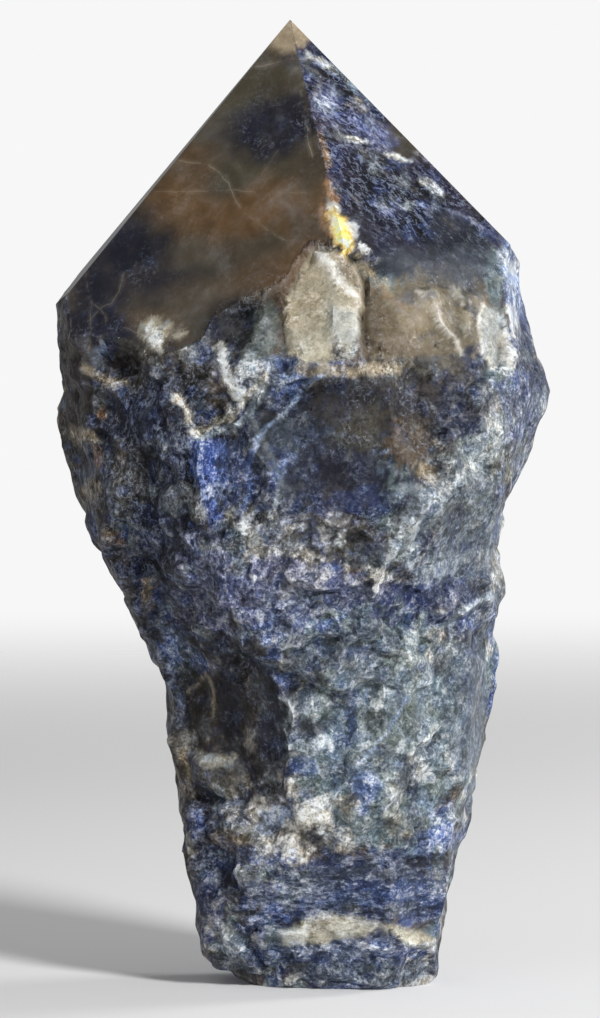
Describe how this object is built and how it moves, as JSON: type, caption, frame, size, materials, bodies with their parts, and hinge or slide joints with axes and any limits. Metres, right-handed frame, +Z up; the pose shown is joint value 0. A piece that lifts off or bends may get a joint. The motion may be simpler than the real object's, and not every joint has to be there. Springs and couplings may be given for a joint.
{
  "type": "rough sodalite point",
  "caption": "Rough sodalite stone with broken sides and a ground, polished point, standing upright on its flat sawn base.",
  "frame": {"origin": "middle of the flat sawn base", "axes": "+Z up from the base to the tip of the point, the broad front towards -Y"},
  "size_m": [0.0838, 0.0653, 0.1635],
  "materials": {
    "sodalite": "blue, grey and brown mottled stone: polished on the facets of the point, rough and glinting on the broken sides, matt on the sawn base"
  },
  "bodies": {
    "root": {"stone": "sodalite"}
  },
  "joints": []
}
